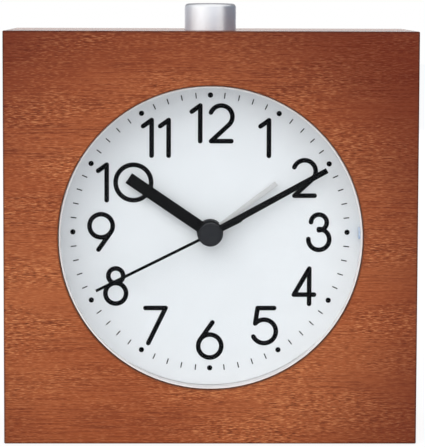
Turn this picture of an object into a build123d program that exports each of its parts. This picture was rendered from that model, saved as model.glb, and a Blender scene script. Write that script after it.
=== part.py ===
"""Analog alarm clock in a square wooden case, with a quartz alarm movement inside.

Millimetres. X runs across the front, Y runs from the front to the back and Z is up.
The origin is at the middle of the underside of the case. Depths are measured
backwards from the front face, and places on the dial from the axis of the hands.
"""

import math
import os

from build123d import *

# Wooden case
case_width = 100.0
case_height = 100.0
case_depth = 45.0
front_board = 10.0
side_board = 7.0
edge_ease = 0.3
front_border = 13.1
opening_ease = 0.3
corner_block = 9.0

# White dial housing, lens and dial
housing_front = 1.2
housing_fit = 0.2
housing_wall = 0.3
collar_depth = 3.2
chamber_lip = 0.8
chamber_step = 1.9
chamber_wall = 0.5
lens_thickness = 1.4
lens_fit = 0.1
flange_width = 6.0
flange_thickness = 2.0
flange_screw_out = 4.4
dial_front = 16.0
dial_thickness = 0.6
dial_fit = 0.1
floor_thickness = 1.5
dial_hole_fit = 0.2

# Printing on the dial
print_height = 0.08
stroke_width = 1.15
digit_half = 4.4
numeral_margin = 9.4
ten_margin = 11.8
digit_reach = 2.5
figure_shifts = {1: (1.0,), 10: (-4.3, 2.3), 11: (-1.0, 3.2), 12: (-2.5, 2.7)}
one_flag = 2.1
one_flag_drop = 1.5
two_bowl = 2.75
two_end = -48.0
two_sweep = 206.0
three_head = 1.96
three_bowl = 2.6
four_stem = 1.3
four_bar = 2.3
five_bowl = 2.95
five_stem = 1.6
six_bowl = 2.88
six_tangent = 145.5
six_tail = 0.65
seven_foot = 1.8
eight_bowl = 2.57
eight_head = 1.84
track_margin = 2.4
dot_radius = 0.65
tick_length = 1.4
tick_width = 0.25

# Hands, as angles clockwise from twelve, with how far each stops short of the minute track
second_angle = 243.5
minute_angle = 61.3
hour_angle = 304.2
alarm_angle = 53.0
hand_thickness = 0.4
second_hand_stand = 6.0
minute_hand_stand = 4.8
hour_hand_stand = 3.5
alarm_hand_stand = 2.3
second_hand_short = 2.6
second_hand_width = 0.7
second_tail_length = 8.5
second_tail_width = 1.25
cap_radius = 2.85
cap_height = 1.6
cap_round = 0.5
minute_hand_short = 1.3
minute_root_width = 1.7
minute_tip_width = 1.35
minute_hub_radius = 2.6
hour_hand_short = 9.7
hour_hand_width = 2.9
hour_hub_radius = 3.2
alarm_hand_short = 13.5
alarm_hand_width = 1.2
alarm_hub_radius = 3.0

# Nested tubes on the axis of the hands
running_fit = 0.06
second_arbor_radius = 0.6
tube_wall = 0.54
bush_wall = 0.64
bush_stand = 0.3

# Movement case
movement_half_width = 22.0
movement_half_height = 23.6
plate_thickness = 1.5
movement_wall = 1.2
middle_thickness = 1.0
middle_fit = 0.2
post_radius = 1.8
post_inset = 3.4

# Wheels
wheel_thickness = 0.8
layer_gap = 0.4
first_gap = 0.3
arbor_radius = 0.9
pivot_radius = 0.5
pivot_length = 0.9
pivot_fit = 0.05
addendum = 0.8
dedendum = 1.1
tooth_share = 0.41
pressure_angle = math.radians(20)
second_teeth = 60
second_pinion_teeth = 10
third_teeth = 75
third_pinion_teeth = 10
centre_teeth = 80
cannon_teeth = 12
motion_teeth = 36
motion_pinion_teeth = 10
hour_teeth = 40
intermediate_teeth = 50
intermediate_pinion_teeth = 10
rotor_teeth = 10
time_pinion_teeth = 18
alarm_teeth = 72
alarm_pinion_teeth = 18
third_distance = 11.475
intermediate_distance = 11.6
rotor_distance = 9.0
motion_distance = 7.2
knob_distance = 15.3
third_direction = 90.0
intermediate_direction = 252.0
rotor_direction = -12.0
motion_direction = 180.0
alarm_knob_direction = 0.0
clutch_radius = 2.0
clutch_height = 0.3

# Stepping motor
magnet_radius = 2.9
magnet_length = 2.6
magnet_gap = 0.6
stator_thickness = 1.0
stator_gap = 0.5
stator_ring = 1.0
stator_arm = 2.7
stator_leg = 3.0
coil_left = -8.0
coil_right = 14.0
coil_drop = 19.9
core_width = 2.4
core_thickness = 1.0
bobbin_wall = 0.4
winding_thickness = 0.7
bobbin_flange = 0.8
cover_clearance = 0.5

# Circuit board
board_width = 11.0
board_height = 13.0
board_thickness = 1.0
board_left = -20.4
board_top = -3.6
board_post_radius = 1.2
chip_size = 4.0
chip_height = 1.0
crystal_radius = 1.0
crystal_length = 6.0

# Back cover, set off from the rear of the movement
rear_gap = 3.0
cover_thickness = 2.4
cover_fit = 0.3
cover_corner = 5.0
cover_screw_inset = 3.6

# Battery and its compartment
battery_radius = 7.1
battery_length = 49.2
nub_radius = 2.6
nub_length = 1.0
battery_drop = 33.1
battery_clearance = 0.3
contact_space = 2.2
contact_thickness = 0.4
contact_width = 9.0
compartment_wall = 1.2
door_thickness = 1.2
door_fit = 0.25
door_pin_length = 0.9
door_rib_height = 0.4
door_rib_width = 0.8
door_rib_count = 4
door_rib_pitch = 2.0
door_rib_length = 14.0

# Setting knobs
shaft_radius = 1.5
shaft_clearance = 0.4
knob_radius = 5.5
knob_gap = 0.3
knob_height = 3.2
knob_fit = 0.02
knob_skin = 1.0
knob_flutes = 24
flute_radius = 0.45
knob_edge = 0.4

# Alarm on and off switch
switch_x = -25.0
switch_up = 31.0
switch_travel = 4.0
switch_body_width = 13.0
switch_body_height = 6.4
switch_body_depth = 4.0
slider_width = 5.2
slider_height = 3.6
slider_depth = 1.6
slider_fit = 0.2
nub_width = 2.4
nub_stand = 2.2

# Buzzer and its sound holes
buzzer_x = 25.0
buzzer_up = 31.0
buzzer_radius = 7.5
buzzer_depth = 4.5
sound_hole_radius = 0.8
sound_ring_radius = 3.4
sound_hole_count = 6

# Snooze and light button
button_radius = 6.4
button_stand = 6.6
button_round = 1.0
button_bore_fit = 0.2
button_flange_radius = 7.6
button_flange = 1.6
button_flange_gap = 0.4
button_travel = 2.0
dome_squashed = 2.4
dome_base = 3.6
dome_top = 2.4
dome_wall = 0.7
snooze_board_width = 16.0
snooze_board_thickness = 1.6
bracket_span = 25.0
bracket_depth = 8.0
bracket_thickness = 1.4
bracket_foot = 5.0
bracket_gap = 0.4

# Light for the dial
led_radius = 1.5
led_depth = 14.2
led_length = 4.0
led_flange = 0.4
led_fit = 0.05
led_show = 0.2

# Screws
screw_radius = 0.8
screw_head_radius = 1.7
screw_head_height = 1.1
screw_slot_width = 0.45
screw_slot_depth = 0.5
screw_fit = 0.05
wood_screw_length = 6.0
wood_pilot = 4.0

# Places that follow from the sizes above
axis_height = case_height / 2
front_y = -case_depth / 2
inner_half = case_width / 2 - side_board
inner_up = case_height / 2 - side_board
opening_radius = min(case_width, case_height) / 2 - front_border
housing_outer = opening_radius - housing_fit
collar_radius = housing_outer - housing_wall
chamber_front = collar_depth + chamber_lip
chamber_radius = collar_radius + chamber_step
chamber_outer = chamber_radius + chamber_wall
flange_radius = chamber_outer + flange_width
flange_screw_radius = chamber_outer + flange_screw_out
track_radius = collar_radius - track_margin
numeral_radius = collar_radius - numeral_margin
ten_radius = collar_radius - ten_margin
second_hand_length = track_radius - second_hand_short
minute_hand_length = track_radius - minute_hand_short
hour_hand_length = track_radius - hour_hand_short
alarm_hand_length = track_radius - alarm_hand_short
lens_back = chamber_front + lens_thickness
second_hand_front = dial_front - second_hand_stand
minute_hand_front = dial_front - minute_hand_stand
hour_hand_front = dial_front - hour_hand_stand
alarm_hand_front = dial_front - alarm_hand_stand
dial_back = dial_front + dial_thickness
floor_back = dial_back + floor_thickness
plate_back = floor_back + plate_thickness

minute_bore = second_arbor_radius + running_fit
minute_tube = minute_bore + tube_wall
hour_bore = minute_tube + running_fit
hour_tube = hour_bore + tube_wall
alarm_bore = hour_tube + running_fit
alarm_tube = alarm_bore + tube_wall
bush_bore = alarm_tube + running_fit
bush_radius = bush_bore + bush_wall
dial_hole = bush_radius + dial_hole_fit

layer_step = wheel_thickness + layer_gap
alarm_back = plate_back + first_gap + wheel_thickness
hour_back = alarm_back + layer_step
cannon_back = hour_back + layer_step
middle_front = cannon_back + layer_gap
middle_back = middle_front + middle_thickness
centre_back = middle_back + layer_step
third_back = centre_back + layer_step
second_back = third_back + layer_step
intermediate_back = second_back + layer_step
magnet_front = intermediate_back + magnet_gap
magnet_back = magnet_front + magnet_length
stator_back = (magnet_front + magnet_back + stator_thickness) / 2
core_back = stator_back + core_thickness
winding_half_depth = core_thickness / 2 + bobbin_wall + winding_thickness
winding_back = core_back - core_thickness / 2 + winding_half_depth
rear_inner = winding_back + cover_clearance
rear_outer = rear_inner + plate_thickness
pivot_back = rear_inner + pivot_length
cover_inner = rear_outer + rear_gap
cover_outer = cover_inner + cover_thickness
post_x = movement_half_width - post_inset
post_up = movement_half_height - post_inset
post_places = [(x, up) for x in (-post_x, post_x) for up in (-post_up, post_up)]
corner_places = [(x, up) for x in (-1, 1) for up in (-1, 1)]
screw_bore = screw_radius + screw_fit
ceiling = case_height - side_board
foot_middle = (bracket_span + bracket_foot) / 2
button_y = front_y + floor_back + bracket_gap + bracket_depth / 2


def polar(distance, direction, start=(0.0, 0.0)):
    """Point at a distance and a direction from another, seen from the front."""
    angle = math.radians(direction)
    return (start[0] + distance * math.cos(angle), start[1] + distance * math.sin(angle))


def direction_of(x, up):
    """Direction of a point from the axis, in degrees."""
    return math.degrees(math.atan2(up, x))


def clock_point(distance, clockwise):
    """Point at a distance from the axis and an angle clockwise from twelve."""
    return polar(distance, 90 - clockwise)


def face_plane(depth, centre=(0.0, 0.0), turn=0.0):
    """Plane that faces the front, with its origin on the dial and its X to the right."""
    angle = math.radians(turn)
    return Plane(
        origin=(centre[0], front_y + depth, axis_height + centre[1]),
        x_dir=(math.cos(angle), 0, math.sin(angle)),
        z_dir=(0, -1, 0),
    )


def disc(depth, radius, centre=(0.0, 0.0)):
    """Round face at a depth, to be drawn out towards the front."""
    with BuildSketch(face_plane(depth, centre)) as face:
        Circle(radius)
    return face.sketch


def ring(depth, outer, inner, centre=(0.0, 0.0)):
    """Flat ring at a depth."""
    with BuildSketch(face_plane(depth, centre)) as face:
        Circle(outer)
        Circle(inner, mode=Mode.SUBTRACT)
    return face.sketch


def panel(depth, width, height, centre=(0.0, 0.0)):
    """Rectangle at a depth."""
    with BuildSketch(face_plane(depth, centre)) as face:
        Rectangle(width, height)
    return face.sketch


def involute(angle):
    return math.tan(angle) - angle


def gear_points(teeth, pitch_radius):
    """Outline of a spur wheel with stub involute teeth, the first one along X."""
    module = 2 * pitch_radius / teeth
    base = pitch_radius * math.cos(pressure_angle)
    root = pitch_radius - dedendum * module
    tip = pitch_radius + addendum * module
    half_pitch = tooth_share * math.pi / teeth
    flank = []
    for radius in (root, pitch_radius, (pitch_radius + tip) / 2, tip):
        lean = math.acos(min(1.0, base / radius))
        flank.append((radius, half_pitch + involute(pressure_angle) - involute(lean)))
    points = []
    for tooth in range(teeth):
        middle = 2 * math.pi * tooth / teeth
        for radius, half in flank:
            points.append((radius * math.cos(middle - half), radius * math.sin(middle - half)))
        for radius, half in reversed(flank):
            points.append((radius * math.cos(middle + half), radius * math.sin(middle + half)))
    return points


def toothed(depth, teeth, pitch_radius, turn, centre=(0.0, 0.0), bore=0.0):
    """Face of a spur wheel whose first tooth points along the given direction."""
    with BuildSketch(face_plane(depth, centre, turn)) as face:
        with BuildLine():
            Polyline(*gear_points(teeth, pitch_radius), close=True)
        make_face()
        if bore > 0:
            Circle(bore, mode=Mode.SUBTRACT)
    return face.sketch


def meshing_turn(teeth, turn, other_teeth, direction):
    """Turn of a wheel that puts its gap where the first wheel has a tooth."""
    ahead = teeth * (direction - turn) / 360
    return direction + 180 - (0.5 - ahead) * 360 / other_teeth


def pitch_pair(distance, teeth, other_teeth):
    """Pitch radii of two wheels that mesh at a distance."""
    total = teeth + other_teeth
    return distance * teeth / total, distance * other_teeth / total


def save(block, name):
    block.part.label = name
    export_step(block.part, f"parts/{name}.step")


os.makedirs("parts", exist_ok=True)

# Wheel places and sizes
third_centre = polar(third_distance, third_direction)
intermediate_centre = polar(intermediate_distance, intermediate_direction)
rotor_centre = polar(rotor_distance, rotor_direction, intermediate_centre)
motion_centre = polar(motion_distance, motion_direction)
time_centre = polar(knob_distance, motion_direction)
alarm_centre = polar(knob_distance, alarm_knob_direction)

second_pinion_pitch, third_pitch = pitch_pair(third_distance, second_pinion_teeth, third_teeth)
third_pinion_pitch, centre_pitch = pitch_pair(third_distance, third_pinion_teeth, centre_teeth)
second_pitch, intermediate_pinion_pitch = pitch_pair(
    intermediate_distance, second_teeth, intermediate_pinion_teeth
)
intermediate_pitch, rotor_pitch = pitch_pair(rotor_distance, intermediate_teeth, rotor_teeth)
cannon_pitch, motion_pitch = pitch_pair(motion_distance, cannon_teeth, motion_teeth)
motion_pinion_pitch, hour_pitch = pitch_pair(motion_distance, motion_pinion_teeth, hour_teeth)
time_pinion_pitch = motion_pitch * time_pinion_teeth / motion_teeth
alarm_pitch, alarm_pinion_pitch = pitch_pair(knob_distance, alarm_teeth, alarm_pinion_teeth)

third_turn = meshing_turn(second_pinion_teeth, 0, third_teeth, third_direction)
centre_turn = meshing_turn(third_pinion_teeth, 0, centre_teeth, third_direction + 180)
intermediate_pinion_turn = meshing_turn(
    second_teeth, 0, intermediate_pinion_teeth, intermediate_direction
)
rotor_turn = meshing_turn(intermediate_teeth, 0, rotor_teeth, rotor_direction)
motion_turn = meshing_turn(cannon_teeth, 0, motion_teeth, motion_direction)
hour_turn = meshing_turn(motion_pinion_teeth, 0, hour_teeth, motion_direction + 180)
time_turn = meshing_turn(motion_teeth, motion_turn, time_pinion_teeth, motion_direction)
alarm_pinion_turn = meshing_turn(alarm_teeth, 0, alarm_pinion_teeth, alarm_knob_direction)

# Front board with the round opening
with BuildPart() as wood_front:
    extrude(panel(front_board, case_width, case_height), amount=front_board)
    outer_edges = wood_front.faces().sort_by(Axis.Y)[0].edges()
    fillet(outer_edges + wood_front.edges().filter_by(Axis.Y), edge_ease)
    extrude(disc(front_board, opening_radius), amount=front_board, mode=Mode.SUBTRACT)
    rim = wood_front.edges().filter_by(GeomType.CIRCLE).group_by(Axis.Y)[0]
    rim = rim.filter_by(lambda edge: edge.radius > opening_radius - edge_ease)
    chamfer(rim, opening_ease)
    rebate = disc(front_board, chamber_outer + housing_fit)
    extrude(rebate, amount=front_board - collar_depth + housing_fit, mode=Mode.SUBTRACT)
    for x, up in corner_places:
        pilot = disc(front_board, screw_bore, polar(flange_screw_radius, direction_of(x, up)))
        extrude(pilot, amount=wood_pilot, mode=Mode.SUBTRACT)
save(wood_front, "wood_front")

# Four boards behind the front board, top and bottom over the full width
board_length = case_depth - front_board
side_middle = (case_width - side_board) / 2
top_middle = (case_height - side_board) / 2

with BuildPart() as wood_top:
    extrude(panel(case_depth, case_width, side_board, (0, top_middle)), amount=board_length)
    ridge = wood_top.edges().filter_by(Axis.Y).group_by(Axis.Z)[-1]
    rear = wood_top.faces().sort_by(Axis.Y)[-1].edges().group_by(Axis.Z)[-1]
    fillet(ridge + rear, edge_ease)
    with Locations((0, button_y, case_height)):
        Hole(button_radius + button_bore_fit, depth=side_board)
    for side in (-1, 1):
        with Locations((side * foot_middle, button_y, ceiling + wood_pilot / 2)):
            Cylinder(screw_bore, wood_pilot, mode=Mode.SUBTRACT)
save(wood_top, "wood_top")

with BuildPart() as wood_bottom:
    extrude(panel(case_depth, case_width, side_board, (0, -top_middle)), amount=board_length)
    ridge = wood_bottom.edges().filter_by(Axis.Y).group_by(Axis.Z)[0]
    rear = wood_bottom.faces().sort_by(Axis.Y)[-1].edges().group_by(Axis.Z)[0]
    fillet(ridge + rear, edge_ease)
save(wood_bottom, "wood_bottom")

for side, side_name in ((-1, "wood_left"), (1, "wood_right")):
    with BuildPart() as wood_side:
        extrude(
            panel(case_depth, side_board, 2 * inner_up, (side * side_middle, 0)),
            amount=board_length,
        )
        outer = wood_side.edges().filter_by(Axis.Z).group_by(Axis.Y)[-1].sort_by(Axis.X)
        fillet(outer[-1] if side > 0 else outer[0], edge_ease)
    save(wood_side, side_name)

# Glue blocks in the corners, which the back cover is screwed to
block_x = inner_half - corner_block / 2
block_up = inner_up - corner_block / 2
cover_screw_x = inner_half - cover_screw_inset
cover_screw_up = inner_up - cover_screw_inset
block_length = cover_inner - front_board

with BuildPart() as corner_blocks:
    for x, up in corner_places:
        place = (x * block_x, up * block_up)
        extrude(panel(cover_inner, corner_block, corner_block, place), amount=block_length)
        hole = disc(cover_inner, screw_bore, (x * cover_screw_x, up * cover_screw_up))
        extrude(hole, amount=wood_screw_length, mode=Mode.SUBTRACT)
save(corner_blocks, "corner_blocks")

# White housing: a collar in the opening, a wider chamber open to the back, and a flange
led_x = collar_radius + led_show
cover_width = 2 * (inner_half - cover_fit)
cover_height = 2 * (inner_up - cover_fit)
with BuildPart() as dial_housing:
    extrude(disc(chamber_front, housing_outer), amount=chamber_front - housing_front)
    extrude(disc(dial_back, chamber_outer), amount=dial_back - collar_depth)
    with BuildSketch(face_plane(front_board + flange_thickness)):
        Circle(flange_radius)
        Rectangle(cover_width, cover_height, mode=Mode.INTERSECT)
    extrude(amount=flange_thickness)
    extrude(disc(dial_back, chamber_radius), amount=dial_back - chamber_front, mode=Mode.SUBTRACT)
    extrude(disc(chamber_front, collar_radius), amount=chamber_front - housing_front, mode=Mode.SUBTRACT)
    for x, up in corner_places:
        place = polar(flange_screw_radius, direction_of(x, up))
        hole = disc(front_board + flange_thickness, screw_bore, place)
        extrude(hole, amount=flange_thickness, mode=Mode.SUBTRACT)
    with BuildSketch(Plane.YZ.offset(led_x)):
        with Locations((front_y + led_depth, axis_height)):
            Circle(led_radius + led_fit)
    extrude(amount=2 * led_length, mode=Mode.SUBTRACT)
save(dial_housing, "dial_housing")

with BuildPart() as lens:
    extrude(disc(lens_back, chamber_radius - lens_fit), amount=lens_thickness)
save(lens, "lens")

with BuildPart() as dial:
    extrude(ring(dial_back, chamber_radius - dial_fit, dial_hole), amount=dial_thickness)
save(dial, "dial")

# Disc that closes the chamber behind the dial and carries the movement
with BuildPart() as dial_carrier:
    extrude(ring(floor_back, chamber_outer, dial_hole), amount=floor_thickness)
save(dial_carrier, "dial_carrier")


def stroke(start, end):
    """Straight pen stroke with round ends."""
    with BuildLine(Plane.XY) as pen:
        Line(start, end)
    SlotArc(pen.line.edge(), stroke_width)


def bow(centre, radius, start, sweep):
    """Curved pen stroke with round ends, from a start angle over a sweep."""
    with BuildLine(Plane.XY) as pen:
        CenterArc(centre, radius, start, sweep)
    SlotArc(pen.line.edge(), stroke_width)


def loop(centre, radius):
    """Closed round pen stroke."""
    with Locations(centre):
        Circle(radius + stroke_width / 2)
        Circle(radius - stroke_width / 2, mode=Mode.SUBTRACT)


def six(x, up, facing):
    """A six, or a nine when it is turned half round."""
    bowl_middle = (x, up - facing * (digit_half - six_bowl))
    touch = polar(six_bowl, six_tangent)
    with Locations(bowl_middle):
        Circle(six_bowl + stroke_width / 2)
    tail_start = (bowl_middle[0] + facing * touch[0], bowl_middle[1] + facing * touch[1])
    stroke(tail_start, (x + facing * six_tail, up + facing * digit_half))
    with Locations(bowl_middle):
        Circle(six_bowl - stroke_width / 2, mode=Mode.SUBTRACT)


def digit(figure, x, up):
    """One upright figure of the dial, drawn with a round pen about its middle."""
    top = up + digit_half
    foot = up - digit_half
    if figure == "0":
        loop((x, up), digit_half)
    elif figure == "1":
        stroke((x, foot), (x, top))
        stroke((x, top), (x - one_flag, top - one_flag_drop))
    elif figure == "2":
        bowl_middle = (x, top - two_bowl)
        bow(bowl_middle, two_bowl, two_end, two_sweep)
        stroke(polar(two_bowl, two_end, bowl_middle), (x - digit_reach, foot))
        stroke((x - digit_reach, foot), (x + digit_reach, foot))
    elif figure == "3":
        bow((x, top - three_head), three_head, -90, 268)
        bow((x, foot + three_bowl), three_bowl, -182, 272)
    elif figure == "4":
        elbow = (x - digit_reach, foot + four_bar)
        stroke((x + four_stem, foot), (x + four_stem, top))
        stroke((x + four_stem, top), elbow)
        stroke(elbow, (x + digit_reach, foot + four_bar))
    elif figure == "5":
        bowl_middle = (x, foot + five_bowl)
        bow(bowl_middle, five_bowl, -154, 292)
        stroke(polar(five_bowl, 138, bowl_middle), (x - five_stem, top))
        stroke((x - five_stem, top), (x + digit_reach, top))
    elif figure == "6":
        six(x, up, 1)
    elif figure == "7":
        stroke((x - digit_reach, top), (x + digit_reach, top))
        stroke((x + digit_reach, top), (x - seven_foot, foot))
    elif figure == "8":
        loop((x, foot + eight_bowl), eight_bowl)
        loop((x, top - eight_head), eight_head)
    elif figure == "9":
        six(x, up, -1)


def numeral_figures(hour):
    """Figures of an hour with the place of each, one or two side by side."""
    radius = ten_radius if hour == 10 else numeral_radius
    x, up = clock_point(radius, 30 * hour)
    figures = str(hour)
    return [(figure, x + shift, up) for figure, shift in zip(figures, figure_shifts.get(hour, (0.0,)))]


with BuildPart() as hour_numerals:
    for hour in range(1, 13):
        for figure, x, up in numeral_figures(hour):
            with BuildSketch(face_plane(dial_front)):
                digit(figure, x, up)
            extrude(amount=print_height)
save(hour_numerals, "hour_numerals")

with BuildPart() as minute_track:
    for minute in range(60):
        with BuildSketch(face_plane(dial_front, clock_point(track_radius, 6 * minute), 90 - 6 * minute)):
            if minute % 5 == 0:
                Circle(dot_radius)
            else:
                Rectangle(tick_length, tick_width)
        extrude(amount=print_height)
save(minute_track, "minute_track")


def straight_hand(depth, clockwise, length, root_width, tip_width, hub, bore):
    """Flat hand with a square tip, a round hub and a bore for what passes through it."""
    with BuildSketch(face_plane(depth, (0.0, 0.0), 90 - clockwise)) as face:
        with BuildLine():
            Polyline(
                (0, root_width / 2),
                (length, tip_width / 2),
                (length, -tip_width / 2),
                (0, -root_width / 2),
                close=True,
            )
        make_face()
        Circle(hub)
        if bore > 0:
            Circle(bore, mode=Mode.SUBTRACT)
    return face.sketch


# Alarm hand and its wheel
alarm_hand_back = alarm_hand_front + hand_thickness
with BuildPart() as alarm_hand:
    extrude(
        straight_hand(
            alarm_hand_back, alarm_angle, alarm_hand_length, alarm_hand_width,
            alarm_hand_width, alarm_hub_radius, alarm_bore,
        ),
        amount=hand_thickness,
    )
save(alarm_hand, "alarm_hand")

with BuildPart() as alarm_wheel:
    extrude(toothed(alarm_back, alarm_teeth, alarm_pitch, 0, bore=alarm_bore), amount=wheel_thickness)
    extrude(ring(alarm_back, alarm_tube, alarm_bore), amount=alarm_back - alarm_hand_back)
save(alarm_wheel, "alarm_wheel")

# Hour hand and its wheel
hour_hand_back = hour_hand_front + hand_thickness
with BuildPart() as hour_hand:
    extrude(
        straight_hand(
            hour_hand_back, hour_angle, hour_hand_length, hour_hand_width,
            hour_hand_width, hour_hub_radius, hour_bore,
        ),
        amount=hand_thickness,
    )
save(hour_hand, "hour_hand")

with BuildPart() as hour_wheel:
    extrude(toothed(hour_back, hour_teeth, hour_pitch, hour_turn, bore=hour_bore), amount=wheel_thickness)
    extrude(ring(hour_back, hour_tube, hour_bore), amount=hour_back - hour_hand_back)
save(hour_wheel, "hour_wheel")

# Minute hand, its arbor with the cannon pinion, and the centre wheel on a slipping clutch
minute_hand_back = minute_hand_front + hand_thickness
with BuildPart() as minute_hand:
    extrude(
        straight_hand(
            minute_hand_back, minute_angle, minute_hand_length, minute_root_width,
            minute_tip_width, minute_hub_radius, minute_bore,
        ),
        amount=hand_thickness,
    )
save(minute_hand, "minute_hand")

centre_front = centre_back - wheel_thickness
with BuildPart() as minute_arbor:
    extrude(ring(centre_back, minute_tube, minute_bore), amount=centre_back - minute_hand_back)
    extrude(toothed(cannon_back, cannon_teeth, cannon_pitch, 0, bore=minute_bore), amount=wheel_thickness)
    extrude(ring(centre_front, clutch_radius, minute_bore), amount=clutch_height)
save(minute_arbor, "minute_arbor")

with BuildPart() as centre_wheel:
    extrude(
        toothed(centre_back, centre_teeth, centre_pitch, centre_turn, bore=minute_tube + knob_fit),
        amount=wheel_thickness,
    )
save(centre_wheel, "centre_wheel")

# Second hand with its tail and cap, and the second wheel on its arbor
second_hand_back = second_hand_front + hand_thickness
with BuildPart() as second_hand:
    extrude(
        straight_hand(
            second_hand_back, second_angle, second_hand_length, second_hand_width,
            second_hand_width, cap_radius, 0.0,
        ),
        amount=hand_thickness,
    )
    tail = straight_hand(
        second_hand_back, second_angle + 180, second_tail_length, second_tail_width,
        second_tail_width, cap_radius, 0.0,
    )
    extrude(tail, amount=hand_thickness)
    extrude(disc(second_hand_front, cap_radius), amount=cap_height)
    fillet(second_hand.faces().sort_by(Axis.Y)[0].edges(), cap_round)
save(second_hand, "second_hand")

second_arbor_back = rear_inner - pivot_fit
with BuildPart() as second_wheel:
    extrude(disc(second_arbor_back, second_arbor_radius), amount=second_arbor_back - second_hand_back)
    extrude(disc(pivot_back, pivot_radius), amount=pivot_back - second_arbor_back)
    extrude(toothed(third_back, second_pinion_teeth, second_pinion_pitch, 0), amount=wheel_thickness)
    extrude(toothed(second_back, second_teeth, second_pitch, 0), amount=wheel_thickness)
save(second_wheel, "second_wheel")


def pivoted(centre, front, wheels):
    """Arbor between the middle plate and the rear cover, with its wheels and pinions."""
    extrude(disc(rear_inner - pivot_fit, arbor_radius, centre), amount=rear_inner - pivot_fit - front)
    extrude(disc(pivot_back, pivot_radius, centre), amount=pivot_back - middle_front)
    for back, teeth, pitch, turn in wheels:
        extrude(toothed(back, teeth, pitch, turn, centre), amount=wheel_thickness)


arbor_front = middle_back + pivot_fit
with BuildPart() as third_wheel:
    pivoted(
        third_centre,
        arbor_front,
        [
            (centre_back, third_pinion_teeth, third_pinion_pitch, 0),
            (third_back, third_teeth, third_pitch, third_turn),
        ],
    )
save(third_wheel, "third_wheel")

with BuildPart() as intermediate_wheel:
    pivoted(
        intermediate_centre,
        arbor_front,
        [
            (
                second_back, intermediate_pinion_teeth,
                intermediate_pinion_pitch, intermediate_pinion_turn,
            ),
            (intermediate_back, intermediate_teeth, intermediate_pitch, 0),
        ],
    )
save(intermediate_wheel, "intermediate_wheel")

with BuildPart() as rotor:
    pivoted(
        rotor_centre,
        arbor_front,
        [(intermediate_back, rotor_teeth, rotor_pitch, rotor_turn)],
    )
save(rotor, "rotor")

with BuildPart() as rotor_magnet:
    extrude(
        ring(magnet_back, magnet_radius, arbor_radius + knob_fit, rotor_centre),
        amount=magnet_length,
    )
save(rotor_magnet, "rotor_magnet")

# Motion wheel on a post of the middle plate
motion_bore = arbor_radius + running_fit
motion_front = hour_back - wheel_thickness
with BuildPart() as motion_wheel:
    extrude(
        toothed(cannon_back, motion_teeth, motion_pitch, motion_turn, motion_centre, motion_bore),
        amount=wheel_thickness,
    )
    extrude(
        ring(cannon_back - wheel_thickness, motion_bore + tube_wall / 2, motion_bore, motion_centre),
        amount=layer_gap,
    )
    extrude(
        toothed(hour_back, motion_pinion_teeth, motion_pinion_pitch, 0, motion_centre, motion_bore),
        amount=wheel_thickness,
    )
save(motion_wheel, "motion_wheel")

# Setting shafts with their pinions, and the knobs pressed on to them
knob_front = cover_outer + knob_gap
knob_back = knob_front + knob_height
shaft_back = knob_back - knob_skin


def setting_shaft(centre, pinion_back, teeth, pitch, turn):
    """Shaft from the front plate through the back cover, with a pinion near its front."""
    extrude(disc(shaft_back, shaft_radius, centre), amount=shaft_back - pinion_back)
    extrude(toothed(pinion_back, teeth, pitch, turn, centre), amount=wheel_thickness)
    front_end = plate_back - pivot_length
    extrude(disc(pinion_back, pivot_radius, centre), amount=pinion_back - front_end)


with BuildPart() as time_shaft:
    setting_shaft(time_centre, cannon_back, time_pinion_teeth, time_pinion_pitch, time_turn)
save(time_shaft, "time_shaft")

with BuildPart() as alarm_shaft:
    setting_shaft(
        alarm_centre, alarm_back, alarm_pinion_teeth, alarm_pinion_pitch, alarm_pinion_turn
    )
save(alarm_shaft, "alarm_shaft")

for knob_name, knob_centre in (("time_knob", time_centre), ("alarm_knob", alarm_centre)):
    with BuildPart() as knob:
        extrude(disc(knob_back, knob_radius, knob_centre), amount=knob_height)
        chamfer(knob.faces().sort_by(Axis.Y)[-1].edges(), knob_edge)
        with BuildSketch(face_plane(knob_back, knob_centre)):
            with PolarLocations(knob_radius, knob_flutes):
                Circle(flute_radius)
        extrude(amount=knob_height, mode=Mode.SUBTRACT)
        bore = disc(shaft_back, shaft_radius + knob_fit, knob_centre)
        extrude(bore, amount=shaft_back - knob_front, mode=Mode.SUBTRACT)
    save(knob, knob_name)

# Movement case: front plate with walls and the bush, middle plate, rear cover
outer_width = 2 * movement_half_width
outer_height = 2 * movement_half_height
inner_width = outer_width - 2 * movement_wall
inner_height = outer_height - 2 * movement_wall

with BuildPart() as front_plate:
    extrude(panel(middle_back, outer_width, outer_height), amount=middle_back - floor_back)
    extrude(
        panel(middle_back, inner_width, inner_height),
        amount=middle_back - plate_back,
        mode=Mode.SUBTRACT,
    )
    extrude(disc(plate_back, bush_radius), amount=plate_back - dial_front + bush_stand)
    extrude(disc(plate_back, bush_bore), amount=plate_back, mode=Mode.SUBTRACT)
    for place in post_places:
        extrude(disc(middle_front, post_radius, place), amount=middle_front - plate_back)
        extrude(
            disc(middle_front, screw_bore, place),
            amount=middle_front - plate_back,
            mode=Mode.SUBTRACT,
        )
    for centre in (time_centre, alarm_centre):
        socket = disc(plate_back, pivot_radius + pivot_fit, centre)
        extrude(socket, amount=pivot_length + pivot_fit, mode=Mode.SUBTRACT)
save(front_plate, "front_plate")

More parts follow.
